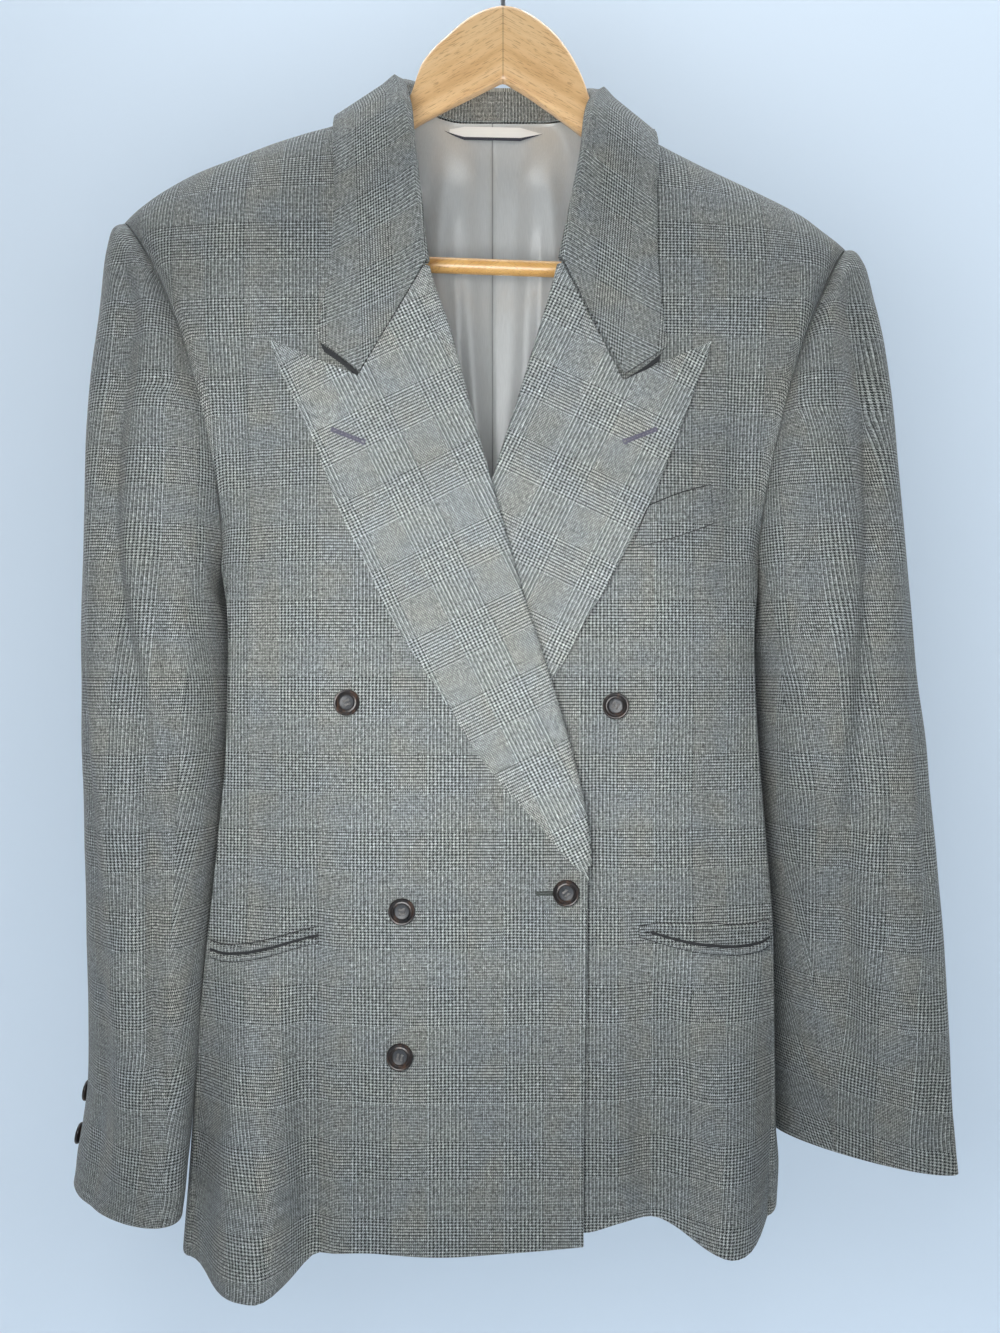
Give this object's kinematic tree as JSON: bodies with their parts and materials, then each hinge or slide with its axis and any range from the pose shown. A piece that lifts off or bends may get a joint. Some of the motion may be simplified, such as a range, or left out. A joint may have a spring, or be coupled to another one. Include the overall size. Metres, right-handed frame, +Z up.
{
  "type": "double breasted blazer on hanger",
  "caption": "Double breasted blazer in checked wool with peak lapels, breast welt and jetted hip pockets, hanging on a wooden hanger with a trouser bar and a wire hook.",
  "frame": {"origin": "top inside of the hanger hook, where a rod carries it", "axes": "+Z up, +X to the right as seen from the front, the front of the blazer faces -Y"},
  "size_m": [0.647, 0.1633, 1.0052],
  "materials": {
    "cloth": "matt wool, fine glen check",
    "lapel_cloth": "matt wool, fine glen check",
    "lining": "satin lining",
    "label": "woven satin, blank",
    "horn": "satin, horn look",
    "wood": "clear varnish",
    "hook_metal": "bright wire"
  },
  "bodies": {
    "root": {"back_left": "cloth", "back_right": "cloth", "breast_welt": "lapel_cloth", "button_fastened": "horn", "button_low_left": "horn", "button_mid_left": "horn", "button_top_left": "horn", "button_top_right": "horn", "collar": "lapel_cloth", "collar_stand": "lapel_cloth", "cuff_button_left_1": "horn", "cuff_button_left_2": "horn", "cuff_button_right_1": "horn", "cuff_button_right_2": "horn", "front_left": "cloth", "front_right": "cloth", "hanger_bar": "wood", "hanger_body": "wood", "hanger_hook": "hook_metal", "jet_lower_left": "cloth", "jet_lower_right": "cloth", "jet_upper_left": "cloth", "jet_upper_right": "cloth", "label": "label", "lapel_left": "lapel_cloth", "lapel_right": "lapel_cloth", "lining_left": "lining", "lining_right": "lining", "pocket_facing_right": "cloth", "side_left": "cloth", "side_right": "cloth", "top_sleeve_left": "cloth", "top_sleeve_right": "cloth", "under_sleeve_left": "cloth", "under_sleeve_right": "cloth"}
  },
  "joints": []
}
